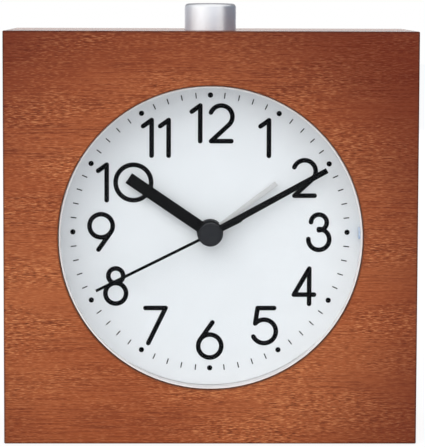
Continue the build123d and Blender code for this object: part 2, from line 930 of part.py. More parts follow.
motion_post_front = motion_front - layer_gap / 2
with BuildPart() as middle_plate:
    extrude(
        panel(middle_back, inner_width - 2 * middle_fit, inner_height - 2 * middle_fit),
        amount=middle_thickness,
    )
    extrude(
        disc(middle_front, arbor_radius, motion_centre),
        amount=middle_front - motion_post_front,
    )
    hole_list = [((0.0, 0.0), minute_tube + running_fit)]
    hole_list += [(centre, shaft_radius + shaft_clearance) for centre in (time_centre, alarm_centre)]
    for centre in (third_centre, intermediate_centre, rotor_centre):
        hole_list.append((centre, pivot_radius + pivot_fit))
    hole_list += [(place, screw_bore) for place in post_places]
    for centre, radius in hole_list:
        extrude(disc(middle_back, radius, centre), amount=middle_thickness, mode=Mode.SUBTRACT)
save(middle_plate, "middle_plate")

board_centre = (board_left + board_width / 2, board_top - board_height / 2)
board_back = core_back
board_posts = [(board_centre[0], board_centre[1] + s * (board_height / 2 - 2)) for s in (-1, 1)]

with BuildPart() as rear_cover:
    extrude(panel(rear_outer, outer_width, outer_height), amount=rear_outer - middle_back)
    extrude(
        panel(rear_inner, inner_width, inner_height),
        amount=rear_inner - middle_back,
        mode=Mode.SUBTRACT,
    )
    for place in post_places:
        extrude(disc(rear_inner, post_radius, place), amount=rear_inner - middle_back)
    for place in board_posts:
        extrude(disc(rear_inner, board_post_radius, place), amount=rear_inner - board_back)
    for end in (coil_left, coil_right):
        seat = (end + math.copysign(stator_leg / 2, -end), -coil_drop)
        extrude(panel(rear_inner, stator_leg, core_width, seat), amount=rear_inner - core_back)
    for place in post_places:
        extrude(disc(rear_outer, screw_bore, place), amount=rear_outer, mode=Mode.SUBTRACT)
    for centre in (time_centre, alarm_centre):
        bearing = disc(rear_outer, shaft_radius + running_fit, centre)
        extrude(bearing, amount=plate_thickness, mode=Mode.SUBTRACT)
    for centre in ((0.0, 0.0), third_centre, intermediate_centre, rotor_centre):
        socket = disc(pivot_back + pivot_fit, pivot_radius + pivot_fit, centre)
        extrude(socket, amount=pivot_length + pivot_fit, mode=Mode.SUBTRACT)
save(rear_cover, "rear_cover")

# Stepping motor: stator, core, bobbin and winding
with BuildPart() as stator:
    with BuildSketch(face_plane(stator_back)):
        bore = magnet_radius + stator_gap
        with Locations(rotor_centre):
            Circle(bore + stator_ring)
        arm_up = rotor_centre[1] - stator_arm / 2
        with Locations(((coil_left + coil_right) / 2, arm_up)):
            Rectangle(coil_right - coil_left, stator_arm)
        leg_height = arm_up + stator_arm / 2 + coil_drop + core_width / 2
        for end in (coil_left, coil_right):
            with Locations(
                (end + math.copysign(stator_leg / 2, -end), arm_up + stator_arm / 2 - leg_height / 2)
            ):
                Rectangle(stator_leg, leg_height)
        with Locations(rotor_centre):
            Circle(bore, mode=Mode.SUBTRACT)
    extrude(amount=stator_thickness)
save(stator, "stator")

coil_middle = ((coil_left + coil_right) / 2, -coil_drop)
coil_length = coil_right - coil_left
with BuildPart() as coil_core:
    extrude(panel(core_back, coil_length, core_width, coil_middle), amount=core_thickness)
save(coil_core, "coil_core")

bobbin_length = coil_length - 2 * stator_leg - 2 * cover_clearance
core_middle = (coil_middle[0], front_y + core_back - core_thickness / 2, axis_height - coil_drop)


def coil_sleeve(length, outer_step, inner_step):
    """Sleeve round the core, given by how far its two skins stand off the core."""
    Box(length, core_thickness + 2 * outer_step, core_width + 2 * outer_step)
    Box(
        length,
        core_thickness + 2 * inner_step,
        core_width + 2 * inner_step,
        mode=Mode.SUBTRACT,
    )


winding_inner = bobbin_wall
winding_outer = bobbin_wall + winding_thickness
with BuildPart() as coil_bobbin:
    with Locations(core_middle):
        coil_sleeve(bobbin_length, bobbin_wall, 0)
    for side in (-1, 1):
        flange_x = core_middle[0] + side * (bobbin_length - bobbin_flange) / 2
        with Locations((flange_x, core_middle[1], core_middle[2])):
            coil_sleeve(bobbin_flange, winding_outer, 0)
save(coil_bobbin, "coil_bobbin")

with BuildPart() as coil_winding:
    with Locations(core_middle):
        coil_sleeve(bobbin_length - 2 * bobbin_flange, winding_outer, winding_inner)
save(coil_winding, "coil_winding")

# Circuit board with its chip and its quartz crystal
with BuildPart() as circuit_board:
    extrude(panel(board_back, board_width, board_height, board_centre), amount=board_thickness)
save(circuit_board, "circuit_board")

board_front = board_back - board_thickness
with BuildPart() as timing_chip:
    extrude(panel(board_front, chip_size, chip_size, board_centre), amount=chip_height)
save(timing_chip, "timing_chip")

crystal_x = board_centre[0] + board_width / 2 - 2 * crystal_radius
with BuildPart() as quartz_crystal:
    with BuildSketch(Plane.XY.offset(axis_height + board_centre[1] - crystal_length / 2)):
        with Locations((crystal_x, front_y + board_front - crystal_radius)):
            Circle(crystal_radius)
    extrude(amount=crystal_length)
save(quartz_crystal, "quartz_crystal")

# Battery compartment sizes
compartment_length = battery_length + nub_length + 2 * contact_space
compartment_height = 2 * (battery_radius + battery_clearance)
compartment_outer_length = compartment_length + 2 * compartment_wall
compartment_outer_height = compartment_height + 2 * compartment_wall
battery_place = (0.0, -battery_drop)
door_back = cover_outer - (cover_thickness - door_thickness) / 3
door_front = door_back - door_thickness
battery_depth = door_front - battery_clearance - battery_radius
compartment_floor = battery_depth - battery_radius - battery_clearance
door_height = compartment_outer_height - 2 * door_fit
door_length = compartment_outer_length - 2 * door_fit
hinge_radius = door_thickness / 2
hinge_up = -battery_drop - door_height / 2 + hinge_radius
hinge_depth = door_back - hinge_radius
hinge_y = front_y + hinge_depth
hinge_z = axis_height + hinge_up

# Back cover with the battery compartment, and holes for knobs, switch, screws and sound
slot_length = nub_width + switch_travel + 2 * slider_fit
with BuildPart() as back_cover:
    with BuildSketch(face_plane(cover_outer)):
        RectangleRounded(cover_width, cover_height, cover_corner)
    extrude(amount=cover_thickness)
    extrude(
        panel(cover_inner, compartment_outer_length, compartment_outer_height, battery_place),
        amount=cover_inner - compartment_floor + compartment_wall,
    )
    extrude(
        panel(cover_outer, compartment_length, compartment_height, battery_place),
        amount=cover_outer - compartment_floor,
        mode=Mode.SUBTRACT,
    )
    extrude(
        panel(cover_outer, compartment_outer_length, compartment_outer_height, battery_place),
        amount=cover_outer - door_front,
        mode=Mode.SUBTRACT,
    )
    for side in (-1, 1):
        socket_x = side * (compartment_outer_length / 2 + door_pin_length / 2)
        with Locations(Location((socket_x, hinge_y, hinge_z), (0, 90, 0))):
            Cylinder(
                hinge_radius + running_fit,
                door_pin_length + 2 * running_fit,
                mode=Mode.SUBTRACT,
            )
    for centre in (time_centre, alarm_centre):
        hole = disc(cover_outer, shaft_radius + shaft_clearance, centre)
        extrude(hole, amount=cover_thickness, mode=Mode.SUBTRACT)
    for x, up in corner_places:
        hole = disc(cover_outer, screw_bore, (x * cover_screw_x, up * cover_screw_up))
        extrude(hole, amount=cover_thickness, mode=Mode.SUBTRACT)
    slot = panel(cover_outer, slot_length, nub_width + 2 * slider_fit, (switch_x, switch_up))
    extrude(slot, amount=cover_thickness, mode=Mode.SUBTRACT)
    with BuildSketch(face_plane(cover_outer, (buzzer_x, buzzer_up))):
        Circle(sound_hole_radius)
        with PolarLocations(sound_ring_radius, sound_hole_count):
            Circle(sound_hole_radius)
    extrude(amount=cover_thickness, mode=Mode.SUBTRACT)
save(back_cover, "back_cover")

# Battery door, which swings on two pins at its lower edge
with BuildPart() as battery_door:
    extrude(panel(door_back, door_length, door_height, battery_place), amount=door_thickness)
    fillet(battery_door.edges().filter_by(Axis.X).group_by(Axis.Z)[0], hinge_radius * 0.999)
    for side in (-1, 1):
        pin_x = side * (compartment_outer_length / 2 + (door_pin_length - door_fit) / 2)
        with Locations(Location((pin_x, hinge_y, hinge_z), (0, 90, 0))):
            Cylinder(hinge_radius, door_pin_length + door_fit)
    for rib in range(door_rib_count):
        rib_up = -battery_drop + door_height / 2 - door_rib_pitch * (rib + 1)
        rib_face = panel(
            door_back + door_rib_height, door_rib_length, door_rib_width, (0, rib_up)
        )
        extrude(rib_face, amount=door_rib_height)
save(battery_door, "battery_door")

# Battery and its two contacts
battery_end = (battery_length + nub_length) / 2
battery_y = front_y + battery_depth
battery_z = axis_height - battery_drop
battery_line = Plane(origin=(-battery_end, battery_y, battery_z), x_dir=(0, 1, 0), z_dir=(1, 0, 0))
with BuildPart() as battery:
    with BuildSketch(battery_line):
        Circle(battery_radius)
    extrude(amount=battery_length)
    fillet(battery.edges().filter_by(GeomType.CIRCLE), battery_clearance)
    with BuildSketch(battery_line.offset(battery_length)):
        Circle(nub_radius)
    extrude(amount=nub_length)
save(battery, "battery")

contact_place = (compartment_length - contact_thickness) / 2
with BuildPart() as positive_contact:
    with Locations((contact_place, battery_y, battery_z)):
        Box(contact_thickness, contact_width, contact_width)
    with BuildSketch(battery_line.offset(2 * battery_end)):
        Circle(nub_radius)
    extrude(amount=contact_space - contact_thickness)
save(positive_contact, "positive_contact")

with BuildPart() as negative_contact:
    with Locations((-contact_place, battery_y, battery_z)):
        Box(contact_thickness, contact_width, contact_width)
    with BuildSketch(Plane.XY.offset(battery_z - contact_width / 4)):
        with BuildLine():
            Polyline(
                (-contact_place, battery_y - contact_width / 2),
                (-battery_end - contact_thickness, battery_y - contact_thickness),
                (-battery_end - contact_thickness, battery_y + contact_thickness),
                (-contact_place, battery_y + contact_width / 2),
                (-contact_place, battery_y + contact_width / 2 - contact_thickness),
                (-battery_end - 2 * contact_thickness, battery_y),
                (-contact_place, battery_y - contact_width / 2 + contact_thickness),
                close=True,
            )
        make_face()
    extrude(amount=contact_width / 2)
    with BuildSketch(battery_line.offset(-contact_thickness)):
        Rectangle(2 * contact_thickness, contact_width / 2)
    extrude(amount=contact_thickness)
save(negative_contact, "negative_contact")

# Alarm switch: its body behind the cover and the slider in it
body_place = (switch_x, switch_up)
pocket_length = slider_width + switch_travel + 2 * slider_fit
pocket_height = slider_height + 2 * slider_fit
with BuildPart() as switch_body:
    extrude(
        panel(cover_inner, switch_body_width, switch_body_height, body_place),
        amount=switch_body_depth,
    )
    extrude(
        panel(cover_inner, pocket_length, pocket_height, body_place),
        amount=slider_depth + 2 * slider_fit,
        mode=Mode.SUBTRACT,
    )
save(switch_body, "switch_body")

slider_place = (switch_x - switch_travel / 2, switch_up)
with BuildPart() as alarm_slider:
    extrude(
        panel(cover_inner - slider_fit, slider_width, slider_height, slider_place),
        amount=slider_depth,
    )
    nub_length_out = cover_outer + nub_stand - cover_inner + slider_fit
    extrude(
        panel(cover_outer + nub_stand, nub_width, nub_width, slider_place),
        amount=nub_length_out,
    )
save(alarm_slider, "alarm_slider")

with BuildPart() as buzzer:
    extrude(disc(cover_inner, buzzer_radius, (buzzer_x, buzzer_up)), amount=buzzer_depth)
    tone_hole = disc(cover_inner, 2 * sound_hole_radius, (buzzer_x, buzzer_up))
    extrude(tone_hole, amount=buzzer_depth / 2, mode=Mode.SUBTRACT)
save(buzzer, "buzzer")

# Snooze and light button over its rubber dome, on a small board in a bracket
flange_top = ceiling - button_flange_gap
flange_bottom = flange_top - button_flange
with BuildPart() as snooze_button:
    with BuildSketch(Plane(origin=(0, button_y, flange_bottom))):
        Circle(button_flange_radius)
    extrude(amount=button_flange)
    with BuildSketch(Plane(origin=(0, button_y, flange_top))):
        Circle(button_radius)
    extrude(amount=case_height + button_stand - flange_top)
    fillet(snooze_button.faces().sort_by(Axis.Z)[-1].edges(), button_round)
save(snooze_button, "snooze_button")

board_top_z = flange_bottom - button_travel - dome_squashed
with BuildPart() as button_dome:
    with BuildSketch(Plane.XZ.offset(-button_y)):
        with BuildLine():
            Polyline(
                (0, flange_bottom),
                (dome_top, flange_bottom),
                (dome_base, board_top_z),
                (dome_base - dome_wall, board_top_z),
                (dome_top - dome_wall, flange_bottom - dome_wall),
                (0, flange_bottom - dome_wall),
                close=True,
            )
        make_face()
    revolve(axis=Axis((0, button_y, 0), (0, 0, 1)))
save(button_dome, "button_dome")

with BuildPart() as snooze_board:
    with Locations((0, button_y, board_top_z - snooze_board_thickness / 2)):
        Box(snooze_board_width, bracket_depth, snooze_board_thickness)
save(snooze_board, "snooze_board")

shelf_z = board_top_z - snooze_board_thickness
with BuildPart() as switch_bracket:
    with Locations((0, button_y, shelf_z - bracket_thickness / 2)):
        Box(bracket_span, bracket_depth, bracket_thickness)
    for side in (-1, 1):
        leg_x = side * (bracket_span - bracket_thickness) / 2
        leg_height = ceiling - shelf_z + bracket_thickness
        with Locations((leg_x, button_y, ceiling - leg_height / 2)):
            Box(bracket_thickness, bracket_depth, leg_height)
        with Locations((side * foot_middle, button_y, ceiling - bracket_thickness / 2)):
            Box(bracket_foot, bracket_depth, bracket_thickness)
            Cylinder(screw_bore, bracket_thickness, mode=Mode.SUBTRACT)
save(switch_bracket, "switch_bracket")

# Light behind the wall of the housing, at three o'clock
led_line = Plane(origin=(led_x, front_y + led_depth, axis_height), x_dir=(0, 1, 0), z_dir=(1, 0, 0))
with BuildPart() as dial_light:
    with BuildSketch(led_line):
        Circle(led_radius)
    extrude(amount=led_length)
    with BuildSketch(led_line.offset(led_length)):
        Circle(led_radius + led_flange)
    extrude(amount=led_flange)
save(dial_light, "dial_light")


def screw(seat, length):
    """Slotted pan-head screw: its head stands on the seat plane, its shank goes through it."""
    with BuildSketch(seat) as head:
        Circle(screw_head_radius)
    with BuildSketch(seat) as shank:
        Circle(screw_radius)
    with BuildSketch(seat.offset(screw_head_height)) as slot:
        Rectangle(2 * screw_head_radius, screw_slot_width)
    extrude(head.sketch, amount=screw_head_height)
    extrude(shank.sketch, amount=-length)
    extrude(slot.sketch, amount=-screw_slot_depth, mode=Mode.SUBTRACT)


def back_seat(depth, centre):
    """Plane that faces the back, for the head of a screw driven from there."""
    return Plane(
        origin=(centre[0], front_y + depth, axis_height + centre[1]),
        x_dir=(1, 0, 0),
        z_dir=(0, 1, 0),
    )


with BuildPart() as cover_screws:
    for x, up in corner_places:
        screw(
            back_seat(cover_outer, (x * cover_screw_x, up * cover_screw_up)),
            cover_thickness + wood_screw_length - screw_fit,
        )
save(cover_screws, "cover_screws")

with BuildPart() as housing_screws:
    for x, up in corner_places:
        place = polar(flange_screw_radius, direction_of(x, up))
        screw(
            back_seat(front_board + flange_thickness, place),
            flange_thickness + wood_pilot - screw_fit,
        )
save(housing_screws, "housing_screws")

with BuildPart() as movement_screws:
    for place in post_places:
        screw(back_seat(rear_outer, place), rear_outer - plate_back - pivot_length)
save(movement_screws, "movement_screws")

with BuildPart() as bracket_screws:
    for side in (-1, 1):
        foot_seat = Plane(
            origin=(side * foot_middle, button_y, ceiling - bracket_thickness),
            x_dir=(1, 0, 0),
            z_dir=(0, 0, -1),
        )
        screw(foot_seat, bracket_thickness + wood_pilot - screw_fit)
save(bracket_screws, "bracket_screws")
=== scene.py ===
import math

import bmesh
import bpy
from mathutils import Matrix, Vector


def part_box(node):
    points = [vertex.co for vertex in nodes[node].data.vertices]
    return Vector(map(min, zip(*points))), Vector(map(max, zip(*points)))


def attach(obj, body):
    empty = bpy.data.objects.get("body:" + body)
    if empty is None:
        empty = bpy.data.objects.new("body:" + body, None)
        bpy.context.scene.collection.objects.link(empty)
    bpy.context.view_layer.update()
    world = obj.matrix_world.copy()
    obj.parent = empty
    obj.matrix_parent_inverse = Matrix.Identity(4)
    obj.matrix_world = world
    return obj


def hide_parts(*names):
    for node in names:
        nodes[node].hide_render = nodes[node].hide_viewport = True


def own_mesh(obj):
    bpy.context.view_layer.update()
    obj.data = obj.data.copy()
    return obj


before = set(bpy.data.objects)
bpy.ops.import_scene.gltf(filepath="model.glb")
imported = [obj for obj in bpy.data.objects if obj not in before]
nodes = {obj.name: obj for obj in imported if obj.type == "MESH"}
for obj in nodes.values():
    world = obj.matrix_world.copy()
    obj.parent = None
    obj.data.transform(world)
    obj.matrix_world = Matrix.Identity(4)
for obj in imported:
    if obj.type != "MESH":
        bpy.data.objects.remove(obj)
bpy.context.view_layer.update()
scene = bpy.context.scene
mm = 0.001
frontFace = -22.5  # y of the wooden front, in mm as all sizes of the clock here
axisHeight = 50.0  # z of the axis of the hands
halfSide = 50.0  # half the side of the square front
white = (1.0, 1.0, 1.0, 1.0)
print("frame loaded,", len(nodes), "nodes")


def srgb(red, green, blue):
    tones = [value / 255 for value in (red, green, blue)]
    return tuple(t / 12.92 if t <= 0.04045 else ((t + 0.055) / 1.055) ** 2.4 for t in tones) + (1.0,)


def dimmed(tone, share):
    return tuple(part * share for part in tone[:3]) + (1.0,)


class Wire:
    def __init__(self, tree, socket=None):
        self.tree = tree
        self.socket = socket

    # any node: settings first, then the values or links of its sockets
    def node(self, kind, settings=None, inputs=None, out=0):
        made = self.tree.nodes.new(kind)
        for name, value in (settings or {}).items():
            setattr(made, name, value)
        for key, value in (inputs or {}).items():
            if isinstance(value, Wire):
                self.tree.links.new(value.socket, made.inputs[key])
            else:
                made.inputs[key].default_value = value
        return Wire(self.tree, made.outputs[out])

    def also(self, out):
        return Wire(self.tree, self.socket.node.outputs[out])

    def maths(self, operation, *values, clamp=False):
        settings = {"operation": operation, "use_clamp": clamp}
        return self.node("ShaderNodeMath", settings, dict(enumerate(values)))

    def __add__(self, other):
        return self.maths("ADD", self, other)

    def __sub__(self, other):
        return self.maths("SUBTRACT", self, other)

    def __rsub__(self, other):
        return self.maths("SUBTRACT", other, self)

    def __mul__(self, other):
        return self.maths("MULTIPLY", self, other)

    def __truediv__(self, other):
        return self.maths("DIVIDE", self, other)

    def __abs__(self):
        return self.maths("ABSOLUTE", self)

    __radd__ = __add__
    __rmul__ = __mul__


noiseRoughness = 0.55


def noise(place, cell, detail=2.0):
    scaled = place.node("ShaderNodeVectorMath", {"operation": "DIVIDE"}, {0: place, 1: cell})
    inputs = {"Vector": scaled, "Scale": 1.0, "Detail": detail, "Roughness": noiseRoughness}
    return place.node("ShaderNodeTexNoise", None, inputs)


def evenNoise(place, size, detail=2.0):
    return noise(place, (size, size, size), detail)


# a noise lies round a half, so this swings to both sides of nothing
def swing(pattern, reach):
    return (pattern - 0.5) * reach


def mixed(first, second, share):
    return first * (1 - share) + second * share


def band(value, low, high, start=0.0, end=1.0):
    settings = {"interpolation_type": "SMOOTHSTEP"}
    inputs = {"Value": value, "From Min": low, "From Max": high, "To Min": start, "To Max": end}
    return value.node("ShaderNodeMapRange", settings, inputs)


# a Mix node has its colours in these sockets
firstColour, secondColour, mixedColour = 6, 7, 2


def blendTone(first, second, share):
    settings = {"data_type": "RGBA", "clamp_factor": True}
    inputs = {0: share, firstColour: first, secondColour: second}
    return share.node("ShaderNodeMix", settings, inputs, out=mixedColour)


def bumped(height, depth, strength):
    inputs = {"Strength": strength, "Distance": depth * mm, "Height": height}
    return height.node("ShaderNodeBump", None, inputs)


def axes(place):
    x = place.node("ShaderNodeSeparateXYZ", None, {0: place})
    return x, x.also(1), x.also(2)


def span(first, second):
    return first.maths("SQRT", first * first + second * second)


def skin(place, values):
    return place.node("ShaderNodeBsdfPrincipled", None, values)


def startTree(holder):
    holder.use_nodes = True
    holder.node_tree.nodes.clear()
    return Wire(holder.node_tree)


def endTree(surface, kind="ShaderNodeOutputMaterial"):
    end = surface.tree.nodes.new(kind)
    surface.tree.links.new(surface.socket, end.inputs[0])


# a finish is built on Object coordinates in millimetres
def makeFinish(name, build, *details):
    finish = bpy.data.materials.new(name)
    start = startTree(finish)
    place = start.node("ShaderNodeTexCoord", out="Object")
    place = start.node("ShaderNodeVectorMath", {"operation": "SCALE"}, {0: place, "Scale": 1 / mm})
    endTree(build(place, *details))
    return finish


# reddish brown stained wood with fine rippled grain; its corner and edge tints are partly stain and partly
# painted shade
caseWood = {
    "dark": (110, 47, 22), "mid": (147, 72, 37), "light": (168, 92, 52), "fleck": (200, 126, 80),
    "pore": (66, 26, 13), "edge": (62, 28, 18), "corner": (89, 20, 3), "ripple": 0.56, "rough": 0.5,
}
blockWood = dict(
    caseWood, dark=(178, 140, 98), mid=(198, 162, 118), light=(212, 180, 138), fleck=(224, 196, 158),
    pore=(150, 112, 76), edge=(170, 132, 92), corner=(176, 138, 96),
)
woodTints = ("dark", "mid", "light", "fleck", "pore", "edge", "corner")
# patterns of the grain: length along it and width across it, and detail
grainCells = {
    "sway": (10.0, 3.0, 2.0), "ribbon": (140.0, 5.5, 3.0), "cloud": (60.0, 20.0, 1.0),
    "fibre": (11.0, 0.22, 2.0), "streak": (1.4, 0.18, 1.0), "lively": (44.0, 11.0, 1.0),
}
# where a tint sets in on its pattern and where it is full
grainBands = {
    "lively": (0.36, 0.64, 0.3, 1.1), "fleck": (0.52, 0.68), "pore": (0.54, 0.7),
    "mid": (0.28, 0.54), "light": (0.42, 0.6),
}
grainShares = {"fibre": 0.6, "cloud": 0.5, "light": 0.8, "fleck": 0.95, "pore": 0.6}
grainGloss = {"fibre": 0.2, "pore": 0.15}
grainRelief = {"fibre": 0.5, "fleck": 0.2, "pore": 0.6, "depth": 0.05, "strength": 0.5}
# darker towards the corners of the front and along the edges, partly stain and partly painted shade, and a
# painted shadow line round the opening
stainAndShade = {
    "middle": (-8.0, 38.0), "reach": (60.0, 62.0), "far": (0.62, 1.25), "cloud": 0.3,
    "depth": (-21.0, 6.0), "cornerShare": 0.77, "edge": (0.1, 0.65), "edgeShare": 0.6,
    "opening": (36.95, 37.35), "openingShare": 0.35,
}
oilCoat = {"Specular IOR Level": 0.06, "Coat Weight": 0.85, "Coat Roughness": 0.16, "Coat IOR": 1.2}


# the middle one of three distances to the faces of the case is that to its nearest edge
def edgeDistance(x, y, z):
    toSide, toTop, toFront = halfSide - abs(x), halfSide - abs(z - axisHeight), -frontFace - abs(y)
    further = x.maths("MINIMUM", x.maths("MAXIMUM", toSide, toTop), toFront)
    return x.maths("MAXIMUM", x.maths("MINIMUM", toSide, toTop), further)


def woodSkin(place, wood, along):
    def pattern(name, source=place):
        length, width, detail = grainCells[name]
        cell = [width, width, width]
        cell[along] = length
        return noise(source, tuple(cell), detail)

    tint = {name: srgb(*wood[name]) for name in woodTints}
    sway = swing(pattern("sway"), wood["ripple"])
    drift = {"XYZ"[axis]: sway for axis in range(3) if axis != along}
    drift = place.node("ShaderNodeCombineXYZ", None, drift)
    rippled = place.node("ShaderNodeVectorMath", {"operation": "ADD"}, {0: place, 1: drift})
    cloud = pattern("cloud")
    fibre = pattern("fibre", rippled)
    streak = pattern("streak", rippled)
    lively = band(pattern("lively"), *grainBands["lively"])
    flecked = band(streak, *grainBands["fleck"]) * lively
    pore = band(1 - streak, *grainBands["pore"]) * lively
    ground = band(mixed(pattern("ribbon"), fibre, grainShares["fibre"]), *grainBands["mid"])
    lit = band(mixed(fibre, cloud, grainShares["cloud"]), *grainBands["light"])
    colour = blendTone(tint["dark"], tint["mid"], ground)
    colour = blendTone(colour, tint["light"], lit * grainShares["light"])
    colour = blendTone(colour, tint["fleck"], flecked * grainShares["fleck"])
    colour = blendTone(colour, tint["pore"], pore * grainShares["pore"])

    x, y, z = axes(place)
    # corner darkening, partly stain and partly painted shade: darker away from the middle of the front, on
    # the front face only
    across = (x - stainAndShade["middle"][0]) / stainAndShade["reach"][0]
    up = (z - stainAndShade["middle"][1]) / stainAndShade["reach"][1]
    stainedAndShaded = band(span(across, up) + swing(cloud, stainAndShade["cloud"]), *stainAndShade["far"])
    atFront = 1 - band(y, *stainAndShade["depth"])
    colour = blendTone(colour, tint["corner"], stainedAndShaded * atFront * stainAndShade["cornerShare"])
    # edge darkening, partly stain and partly painted shade of the rounded edges; the dark line round the
    # opening is a painted shadow of the gap at the dial housing
    atEdge = 1 - band(edgeDistance(x, y, z), *stainAndShade["edge"])
    atOpening = 1 - band(span(x, z - axisHeight), *stainAndShade["opening"])
    wearAndShade = atEdge * stainAndShade["edgeShare"] + atOpening * stainAndShade["openingShare"]
    colour = blendTone(colour, tint["edge"], wearAndShade)

    relief = fibre * grainRelief["fibre"] + flecked * grainRelief["fleck"] - pore * grainRelief["pore"]
    return skin(place, {
        "Base Color": colour,
        "Roughness": wood["rough"] + swing(fibre, grainGloss["fibre"]) + pore * grainGloss["pore"],
        "Normal": bumped(relief, grainRelief["depth"], grainRelief["strength"]),
        **oilCoat,
    })


# moulded or painted surfaces: colour with faint clouds, a grain in the gloss and the relief
mouldedLooks = {
    "whitePlastic": {"tone": (244, 239, 237), "cloud": 0.04, "rough": 0.36, "grain": 0.5, "relief": 0.006},
    "dialPaint": {"tone": (238, 240, 241), "cloud": 0.02, "rough": 0.55, "grain": 0.25, "relief": 0.004},
    "printInk": {
        "tone": (7, 8, 11), "cloud": 0.3, "rough": 0.55, "grain": 0.2, "relief": 0.004, "shine": 0.02,
    },
    "greyLacquer": {"tone": (208, 207, 206), "cloud": 0.05, "rough": 0.42, "grain": 0.3, "relief": 0.003},
    "coverPlastic": {"tone": (32, 32, 35), "cloud": 0.25, "rough": 0.5, "grain": 0.32, "relief": 0.03},
    "knobPlastic": {"tone": (24, 24, 26), "cloud": 0.25, "rough": 0.38, "grain": 0.4, "relief": 0.01},
    "movementPlastic": {"tone": (58, 60, 64), "cloud": 0.2, "rough": 0.48, "grain": 0.35, "relief": 0.02},
    "wheelPlastic": {"tone": (224, 220, 206), "cloud": 0.06, "rough": 0.34, "grain": 0.4, "relief": 0.006},
    "domeRubber": {"tone": (66, 67, 71), "cloud": 0.2, "rough": 0.7, "grain": 0.18, "relief": 0.02},
    "chipResin": {"tone": (28, 28, 30), "cloud": 0.3, "rough": 0.6, "grain": 0.12, "relief": 0.02},
    "bobbinPlastic": {"tone": (196, 182, 150), "cloud": 0.08, "rough": 0.4, "grain": 0.3, "relief": 0.008},
}
moulding = {
    "cloudSize": 6.0, "grainShare": 0.3, "clouded": (0.35, 0.65), "grainGloss": 0.12, "cloudGloss": 0.08,
    "strength": 0.6, "shine": 0.45,
}


def mouldedSkin(place, look):
    cloud = evenNoise(place, moulding["cloudSize"])
    grain = evenNoise(place, look["grain"])
    base = srgb(*look["tone"])
    clouded = band(mixed(cloud, grain, moulding["grainShare"]), *moulding["clouded"])
    gloss = look["rough"] + swing(grain, moulding["grainGloss"]) + swing(cloud, moulding["cloudGloss"])
    return skin(place, {
        "Base Color": blendTone(base, dimmed(base, 1 - look["cloud"]), clouded), "Roughness": gloss,
        "Normal": bumped(grain, look["relief"], moulding["strength"]),
        "Specular IOR Level": look.get("shine", moulding["shine"]),
    })


# black lacquer of the hands, lighter on the cap over their hubs
handLacquer = {
    "tone": (5, 6, 8), "capTone": (42, 43, 46), "capReach": (2.9, 3.1), "rough": 0.34, "grain": 0.3,
    "relief": 0.002, "shine": 0.02,
}


def lacquerSkin(place, look):
    x, _, z = axes(place)
    grain = evenNoise(place, look["grain"])
    blade = band(span(x, z - axisHeight), *look["capReach"])
    return skin(place, {
        "Base Color": blendTone(srgb(*look["capTone"]), srgb(*look["tone"]), blade),
        "Roughness": look["rough"] + swing(grain, moulding["grainGloss"]),
        "Normal": bumped(grain, look["relief"], moulding["strength"]), "Specular IOR Level": look["shine"],
    })


# metals: fine lines in the gloss, along one axis or round the button's axis
metalLooks = {
    "turnedSilver": {
        "tone": (250, 251, 254), "rough": 0.36, "line": (0.1, 0.1, 0.1), "spread": 0.1, "relief": 0.003,
        "metal": 1.0, "turned": True,
    },
    "plainSteel": {
        "tone": (168, 170, 175), "rough": 0.34, "line": (3.0, 0.12, 0.12), "spread": 0.18, "relief": 0.006,
        "metal": 1.0,
    },
    "screwSteel": {
        "tone": (178, 180, 184), "rough": 0.3, "line": (0.3, 0.3, 0.3), "spread": 0.16, "relief": 0.006,
        "metal": 1.0,
    },
    "magnetMetal": {
        "tone": (74, 75, 80), "rough": 0.48, "line": (0.2, 0.2, 0.2), "spread": 0.2, "relief": 0.02,
        "metal": 0.7,
    },
    "copperWire": {
        "tone": (186, 100, 58), "rough": 0.3, "line": (0.12, 1.2, 1.2), "spread": 0.15, "relief": 0.01,
        "metal": 0.9,
    },
}
metalWear = {
    "size": 4.0, "lineDetail": 3.0, "lineShare": 0.5, "wearAndShade": (0.35, 0.65), "dim": 0.92, "gloss": 0.06,
    "strength": 0.4,
}


def metalSkin(place, look):
    wearAndShade = evenNoise(place, metalWear["size"])
    drawn = place
    if look.get("turned"):
        x, y, z = axes(place)
        drawn = place.node("ShaderNodeCombineXYZ", None, {"X": span(x, y), "Z": z})
    line = noise(drawn, look["line"], metalWear["lineDetail"])
    base = srgb(*look["tone"])
    dulled = band(mixed(wearAndShade, line, metalWear["lineShare"]), *metalWear["wearAndShade"])
    return skin(place, {
        "Base Color": blendTone(base, dimmed(base, metalWear["dim"]), dulled), "Metallic": look["metal"],
        "Roughness": look["rough"] + swing(line, look["spread"]) + swing(wearAndShade, metalWear["gloss"]),
        "Normal": bumped(line, look["relief"], metalWear["strength"]),
    })


# clear flat lens: light passes, the gloss grows to the edge of sight
clearLens = {
    "tint": (0.985, 0.99, 0.995, 1.0), "ior": 1.45, "gloss": 0.03, "share": 0.12, "filmSize": 18.0,
    "film": 0.05,
}


def lensSkin(place, look):
    film = evenNoise(place, look["filmSize"])
    clear = place.node("ShaderNodeBsdfTransparent", None, {"Color": look["tint"]})
    gloss = place.node("ShaderNodeBsdfGlossy", None, {"Color": white, "Roughness": look["gloss"]})
    edge = place.node("ShaderNodeFresnel", None, {"IOR": look["ior"]})
    share = edge * (look["share"] + swing(film, look["film"]))
    return place.node("ShaderNodeMixShader", None, {0: share, 1: clear, 2: gloss})


# green board with pale copper tracks under the lacquer
boardLacquer = {
    "tone": (18, 86, 52), "track": (44, 120, 74), "rough": 0.32, "lean": 0.5, "lanes": 0.45,
    "trackEdge": (0.12, 0.2), "breakSize": 3.0, "break": (0.45, 0.5), "weave": 0.3, "weaveGloss": 0.12,
    "weaveShare": 0.2, "relief": 0.03, "strength": 0.5,
}


